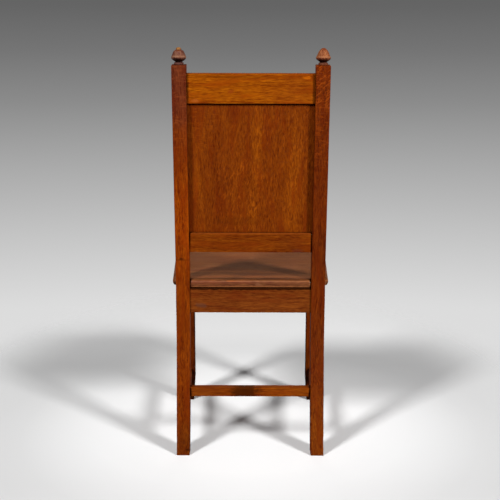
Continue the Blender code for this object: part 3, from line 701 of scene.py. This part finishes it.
class HALLCHAIR_OT_back(bpy.types.Operator):
    """Finish the back panel and the two back rails"""
    bl_idname = "hallchair.back"
    bl_label = "Back"

    def execute(self, context):
        wood = context.scene.hall_chair_wood
        top = tuple(wood.top_rail)
        marks = (
            # Painted shadows: dark bands at the rail's ends, where the posts shade it
            ((0.1580, 0.215, 0.9470), (0.0075, 0.05, 0.09), 0.75, srgb(70, 27, 5)),
            ((-0.1580, 0.215, 0.9470), (0.0085, 0.05, 0.09), 0.55, srgb(76, 30, 4)),
            ((-0.1363, 0.217, 0.9732), (0.012, 0.02, 0.0045), 0.6, shaded(top, 1.9)),
            ((0.1353, 0.212, 0.9170), (0.014, 0.02, 0.0055), 0.4, srgb(182, 98, 40)),
            ((0.0475, 0.214, 0.9398), (0.010, 0.02, 0.0060), 0.5, srgb(136, 52, 14)),
            ((0.03, 0.217, 0.974), (0.15, 0.02, 0.0035), 0.35, shaded(top, 0.55)),
        )
        dull = ((-0.11, 0.215, 0.947), (0.09, 0.1, 0.08), 0.8, srgb(136, 62, 7))
        oak_piece("top_rail", "top_rail_oak", "top_rail_oak", 23.3, GRAIN_ACROSS, top,
                  shades=(dull,), marks=marks)

        marks = (
            ((-0.118, 0.17, 0.538), (0.018, 0.04, 0.006), 0.5, srgb(96, 40, 30)),
            # Painted highlight: a light line along the rail's top arris
            ((0, 0.17, 0.5835), (0.3, 0.04, 0.0045), 0.4, srgb(150, 76, 24)),
        )
        dull = ((-0.11, 0.17, 0.56), (0.07, 0.05, 0.05), 0.6, srgb(110, 48, 9))
        oak_piece("lower_back_rail", "rail_oak", "lower_rail_oak", 29.9, GRAIN_ACROSS, tuple(wood.rail),
                  shades=(dull,), marks=marks)

        panel = tuple(wood.panel)
        bright, red_brown = srgb(144, 69, 6), srgb(98, 37, 6)
        shades = (
            ((-0.0150, 0.19, 0.80), (0.018, 0.1, 0.16), 0.6, bright),
            ((-0.0060, 0.18, 0.62), (0.014, 0.1, 0.08), 0.5, bright),
            ((-0.1080, 0.19, 0.70), (0.034, 0.1, 0.20), 0.5, bright),
            ((0.1330, 0.19, 0.72), (0.018, 0.1, 0.10), 0.4, bright),
            ((0.0430, 0.19, 0.89), (0.036, 0.1, 0.04), 0.6, red_brown),
            ((0.0800, 0.19, 0.74), (0.045, 0.1, 0.20), 0.35, red_brown),
        )
        fleck = (
            (math.radians(-72), 0.5, (0.03, 0.18, 0.68), (0.07, 0.2, 0.13)),
            (math.radians(0), 0.3, (0.120, 0.19, 0.86), (0.05, 0.2, 0.08)),
            (math.radians(-84), 0.35, (-0.06, 0.19, 0.80), (0.16, 0.2, 0.25)),
        )
        dark_foot = ((0.035, 0.172, 0.614), (0.08, 0.04, 0.014), 0.3, shaded(panel, 0.6))
        oak_piece("back_panel", "panel_oak", "panel_oak", 31.7, GRAIN_UP, panel, wear=0,
                  figure=CLOSE_GRAIN, fleck=fleck, shades=shades, marks=(dark_foot,))
        return {"FINISHED"}


class HALLCHAIR_OT_seat(bpy.types.Operator):
    """Finish the seat board"""
    bl_idname = "hallchair.seat"
    bl_label = "Seat"

    def execute(self, context):
        colour = tuple(context.scene.hall_chair_wood.seat)
        pale, rust = srgb(190, 140, 104), srgb(176, 92, 40)
        marks = (
            ((-0.003, -0.086, SEAT_TOP), (0.010, 0.020, 0.01), 0.6, srgb(160, 100, 60)),
            # Painted shade: a thin dark line under the top arris, as in a groove of the moulding
            ((0, SEAT_REAR, SEAT_TOP - 0.0016), (0.30, 0.012, 0.0011), 0.7, shaded(colour, 0.3)),
            # Painted highlight: a light line along the upper rounding of the rear edge
            ((0, SEAT_REAR, SEAT_TOP - 0.0056), (0.20, 0.012, 0.0016), 0.4, srgb(160, 104, 74)),
            ((-0.0228, SEAT_REAR, SEAT_TOP), (0.013, 0.012, 0.0012), 0.8, pale),
            ((-0.1190, SEAT_REAR, SEAT_TOP), (0.012, 0.012, 0.0012), 0.8, pale),
            ((0.0490, SEAT_REAR, SEAT_TOP - 0.0050), (0.020, 0.012, 0.0012), 0.7, rust),
            ((-0.0200, SEAT_REAR, SEAT_TOP - 0.0140), (0.010, 0.012, 0.0060), 0.4, srgb(150, 96, 66)),
            # Painted light: the downward rounding at the foot of the rear edge is lightened
            ((0, SEAT_REAR - 0.002, SEAT_TOP - 0.0205), (0.30, 0.012, 0.0040), 0.8, srgb(200, 120, 70)),
        )
        shades = (
            ((-0.14, -0.06, SEAT_TOP), (0.12, 0.16, 0.05), 0.6, srgb(156, 88, 44)),
            # Painted shade: the rear edge's face is kept darker than the lighter top
            ((0, SEAT_REAR, SEAT_TOP - 0.013), (0.60, 0.008, 0.020), 0.9, srgb(106, 58, 31)),
            # Painted light: a lighter zone lifts the shadow that the back casts on the seat
            ((0, 0.035, SEAT_TOP), (0.20, 0.060, 0.02), 0.85, srgb(182, 114, 68)),
            # Painted shadow: a dark band on the seat just before the back
            ((0, 0.116, SEAT_TOP), (0.30, 0.038, 0.02), 0.85, srgb(58, 30, 16)),
            # Painted shadow: a dark strip along the seat's rear edge
            ((0, 0.168, SEAT_TOP), (0.40, 0.022, 0.007), 0.9, srgb(62, 32, 18)),
        )
        oak_piece("seat_board", "seat_oak", "seat_oak", 37.1, GRAIN_ALONG_SEAT, colour, wear=0.35,
                  roughness=0.38, shine=0.2, shades=shades, marks=marks)
        return {"FINISHED"}


class HALLCHAIR_OT_seat_frame(bpy.types.Operator):
    """Finish the rails under the seat"""
    bl_idname = "hallchair.seat_frame"
    bl_label = "Seat Frame"

    def execute(self, context):
        colour = tuple(context.scene.hall_chair_wood.apron)
        stain = ((0.1257, 0.1756, 0.3927), (0.019, 0.02, 0.008), 0.5, srgb(92, 58, 44))
        # Painted shadow: a dark line along the rear rail's top, under the seat's overhanging edge
        wax = ((0, 0.1756, 0.4385), (0.40, 0.012, 0.0062), 0.92, shaded(colour, 0.10))
        for name, seed, grain, marks in (
                ("rear_seat_rail", 41.3, GRAIN_ACROSS, (stain, wax)),
                ("front_seat_rail", 43.9, GRAIN_ACROSS, ()),
                ("side_seat_rail_left", 47.1, GRAIN_FORWARD, ()),
                ("side_seat_rail_right", 53.3, GRAIN_FORWARD, ())):
            oak_piece(name, "rail_oak", name + "_oak", seed, grain, colour, marks=marks)
        return {"FINISHED"}


class HALLCHAIR_OT_stretchers(bpy.types.Operator):
    """Finish the three stretchers"""
    bl_idname = "hallchair.stretchers"
    bl_label = "Stretchers"

    def execute(self, context):
        colour = tuple(context.scene.hall_chair_wood.rail)
        stain = ((0.016, 0.195, 0.163), (0.045, 0.05, 0.03), 0.85, shaded(colour, 0.22))
        bright = ((-0.09, 0.195, 0.163), (0.07, 0.05, 0.05), 0.7, srgb(141, 69, 10))
        dull = ((0.11, 0.195, 0.163), (0.08, 0.05, 0.05), 0.6, srgb(114, 53, 11))
        for name, seed, grain, marks, shades in (
                ("rear_stretcher", 59.7, GRAIN_ACROSS, (stain,), (bright, dull)),
                ("side_stretcher_left", 61.1, GRAIN_FORWARD, (), ()),
                ("side_stretcher_right", 67.3, GRAIN_FORWARD, (), ())):
            oak_piece(name, "rail_oak", name + "_oak", seed, grain, colour, marks=marks, shades=shades)
        return {"FINISHED"}


class HALLCHAIR_OT_finials(bpy.types.Operator):
    """Turn the two acorn finials"""
    bl_idname = "hallchair.finials"
    bl_label = "Finials"

    def execute(self, context):
        wood = context.scene.hall_chair_wood
        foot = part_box("rear_post_left")[1].z
        for side, seed, colour, shares, tone_shares, mark_shares in (
                ("left", 71.3, tuple(wood.left_finial), LEFT_ACORN_SHARES, LEFT_ACORN_TONE_SHARES,
                 LEFT_ACORN_MARKS),
                ("right", 73.9, tuple(wood.right_finial), RIGHT_ACORN_SHARES, RIGHT_ACORN_TONE_SHARES,
                 RIGHT_ACORN_MARKS)):
            low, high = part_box("finial_" + side)
            middle = (low + high) / 2
            tall = high.z - foot
            tones = [(foot + share * tall, level) for share, level in tone_shares]
            marks = [((middle.x + aside, middle.y, foot + share * tall), reach, strength, srgb(*tint))
                     for share, aside, reach, strength, tint in mark_shares]
            material = oak("finial_oak_" + side, seed, GRAIN_UP, colour, tones=tones, wear=0.15,
                           marks=marks)
            turn_acorn("finial_" + side, shares, material, seed)
        return {"FINISHED"}


class HALLCHAIR_OT_fixings(bpy.types.Operator):
    """Finish the corner blocks and the screws that hold the seat"""
    bl_idname = "hallchair.fixings"
    bl_label = "Blocks and Screws"

    def execute(self, context):
        for name, seed in (("front_left", 82.8), ("front_right", 86.5),
                           ("rear_left", 90.2), ("rear_right", 93.9)):
            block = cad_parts["corner_block_" + name]
            block.data.materials.clear()
            block.data.materials.append(softwood("block_wood_" + name, seed))
            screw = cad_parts["seat_screw_" + name]
            screw.data.materials.clear()
            screw.data.materials.append(steel("screw_steel_" + name, seed))
        return {"FINISHED"}


# Grey of the backdrop by the height of the line of sight, from straight down at 0 to straight up at 1
BACKDROP = (
    (0.000, 0.72), (0.280, 0.72), (0.320, 0.735), (0.3725, 0.715), (0.427, 0.479), (0.4816, 0.258),
    (0.509, 0.175), (0.533, 0.127), (0.60, 0.10), (1.000, 0.08),
)

# Grey of the floor to the eye by its distance from the middle, a painted pool of light, and its factor by
# where it lies along y, which makes up for the lamps' falling off; its dip behind the chair, around
# y = -0.5, is painted shade that deepens the shadows there
FLOOR_POOL = ((0.32, 0.98), (0.44, 0.92), (0.54, 0.84), (0.64, 0.75), (0.72, 0.72), (1.3, 0.70))
FLOOR_RAISE = ((-1.2, 1.50), (-0.9, 1.46), (-0.5, 1.17), (0.0, 1.09), (0.4, 1.01), (0.7, 1.04))


def make_backdrop(world, fill):
    """A grey that brightens downwards for the eye and for gloss, and an even fill for the rest."""
    f = Finish(world)
    direction = f.node("ShaderNodeTexCoord", {}, {}, "Generated")
    height = f.parts(direction)[2] * 0.5 + 0.5
    stops = [(place, (level, level, level)) for place, level in BACKDROP]
    grey = f.node("ShaderNodeValToRGB", {"stops": stops}, {0: height})
    seen = f.node("ShaderNodeBackground", {}, {"Color": grey, "Strength": 1})
    lit = f.node("ShaderNodeBackground", {}, {"Color": (1, 1, 1, 1), "Strength": fill})
    path = f.node("ShaderNodeLightPath", {}, {}, "Is Camera Ray")
    rays = path.socket.node.outputs
    shown = f.maths("MAXIMUM", path, Signal(f, rays["Is Glossy Ray"]))
    shown = f.maths("MAXIMUM", shown, Signal(f, rays["Is Transmission Ray"]))
    both = f.node("ShaderNodeMixShader", {}, {0: shown, 1: lit, 2: seen})
    f.node("ShaderNodeOutputWorld", {}, {"Surface": both})


# The floor's size and fineness. It gives way to the backdrop between two shares of an ellipse's reach.
FLOOR_RADIUS = 4.0
FLOOR_SEGMENTS = 96
FLOOR_MIDDLE = (0.04, -0.1, 0)
FLOOR_REACH = (0.84, 1.3, 1)
FLOOR_FADE = (0.78, 1.25)


def make_floor(colour):
    """A round floor that takes the shadows and gives way to the backdrop further out."""
    solid = bmesh.new()
    bmesh.ops.create_circle(solid, cap_ends=True, radius=FLOOR_RADIUS, segments=FLOOR_SEGMENTS)
    floor = new_piece("floor", solid)
    material, f = new_finish("floor_paper")
    here = f.place()
    out = f.spot(here, FLOOR_MIDDLE, FLOOR_REACH)
    # Painted light: to the eye the floor is a painted pool of light, with painted shade behind the chair
    painted_light_pool = f.read_off(f.spot(here, (0, 0, 0), (1, 1, 1)), FLOOR_POOL)
    level = painted_light_pool * f.read_off(f.parts(here)[1], FLOOR_RAISE)
    seen = f.node("ShaderNodeCombineColor", {}, {0: level, 1: level, 2: level})
    is_seen = f.node("ShaderNodeLightPath", {}, {}, "Is Camera Ray")
    paper = f.node("ShaderNodeBsdfDiffuse", {}, {"Color": f.mix(is_seen, colour, seen)})
    clear = f.node("ShaderNodeBsdfTransparent", {}, {})
    both = f.node("ShaderNodeMixShader", {}, {0: f.rise(out, *FLOOR_FADE), 1: paper, 2: clear})
    f.node("ShaderNodeOutputMaterial", {}, {"Surface": both})
    floor.data.materials.append(material)


# What the lamps face, how far they stand from it, and each one's azimuth from +Y towards +X, its height
# above the horizon, both in degrees, and its width and height
LAMP_TARGET = Vector((0, 0, 0.6))
LAMP_DISTANCE = 6.0
LEFT_LAMP = (38.5, 36, (0.85, 1.6))
RIGHT_LAMP = (-44, 25.5, (0.95, 1.1))
FRONT_LAMP = (180, 8, (4.0, 1.2))
SHEEN_LAMP = (180, 13, (4.0, 1.2))


def make_lamp(name, stand, power):
    """A soft box that faces the chair."""
    azimuth, elevation, size = stand
    light = bpy.data.lights.new(name, "AREA")
    light.shape = "RECTANGLE"
    light.size, light.size_y = size
    light.energy = power
    lamp = bpy.data.objects.new(name, light)
    bpy.context.scene.collection.objects.link(lamp)
    azimuth, elevation = math.radians(azimuth), math.radians(elevation)
    flat = math.cos(elevation)
    way = Vector((math.sin(azimuth) * flat, math.cos(azimuth) * flat, math.sin(elevation)))
    lamp.location = LAMP_TARGET + way * LAMP_DISTANCE
    lamp.rotation_euler = (-way).to_track_quat("-Z", "Y").to_euler()
    lamp.visible_camera = False
    return lamp


class HALLCHAIR_OT_stage(bpy.types.Operator):
    """Set up the floor, the backdrop, the lamps and the camera"""
    bl_idname = "hallchair.stage"
    bl_label = "Stage"

    def execute(self, context):
        scene = context.scene
        stage = scene.hall_chair_stage
        scene.view_settings.view_transform = "Standard"
        scene.world = bpy.data.worlds.new("studio")
        make_backdrop(scene.world, stage.fill)
        make_floor(tuple(stage.floor))
        make_lamp("left_lamp", LEFT_LAMP, stage.left_power)
        make_lamp("right_lamp", RIGHT_LAMP, stage.right_power)
        front = make_lamp("front_lamp", FRONT_LAMP, stage.front_power)
        front.visible_glossy = False
        sheen = make_lamp("sheen_lamp", SHEEN_LAMP, stage.sheen_power)
        sheen.visible_diffuse = False
        sheen.data.color = stage.sheen_colour
        camera = bpy.data.objects.new("camera", bpy.data.cameras.new("camera"))
        scene.collection.objects.link(camera)
        camera.data.lens = stage.camera_lens
        camera.data.shift_x = stage.camera_shift
        place = Matrix.Translation((0, stage.camera_distance, stage.camera_height))
        turn = Matrix.Rotation(math.pi, 4, "Z")
        tilt = Matrix.Rotation(math.pi / 2 - stage.camera_pitch, 4, "X")
        roll = Matrix.Rotation(stage.camera_roll, 4, "Z")
        camera.matrix_world = place @ turn @ tilt @ roll
        scene.camera = camera
        return {"FINISHED"}


PIECES = ("posts", "legs", "back", "seat", "seat_frame", "stretchers", "finials", "fixings", "stage")


class HALLCHAIR_PT_pieces(bpy.types.Panel):
    """Lists the groups of pieces and the stage"""
    bl_label = "Hall Chair"
    bl_idname = "HALLCHAIR_PT_pieces"
    bl_space_type = "VIEW_3D"
    bl_region_type = "UI"
    bl_category = "Hall Chair"

    def draw(self, context):
        for name in PIECES:
            self.layout.operator("hallchair." + name)
        for group in (context.scene.hall_chair_wood, context.scene.hall_chair_stage):
            for name in group.bl_rna.properties.keys():
                if name in group.__annotations__:
                    self.layout.prop(group, name)


CLASSES = (
    HallChairWood, HallChairStage, HALLCHAIR_OT_posts, HALLCHAIR_OT_legs, HALLCHAIR_OT_back,
    HALLCHAIR_OT_seat, HALLCHAIR_OT_seat_frame, HALLCHAIR_OT_stretchers, HALLCHAIR_OT_finials,
    HALLCHAIR_OT_fixings, HALLCHAIR_OT_stage, HALLCHAIR_PT_pieces,
)


def register():
    for made in CLASSES:
        bpy.utils.register_class(made)
    bpy.types.Scene.hall_chair_wood = bpy.props.PointerProperty(type=HallChairWood)
    bpy.types.Scene.hall_chair_stage = bpy.props.PointerProperty(type=HallChairStage)


def unregister():
    del bpy.types.Scene.hall_chair_stage
    del bpy.types.Scene.hall_chair_wood
    for made in reversed(CLASSES):
        bpy.utils.unregister_class(made)


def main():
    register()
    for name in PIECES:
        getattr(bpy.ops.hallchair, name)()


if __name__ == "__main__":
    main()
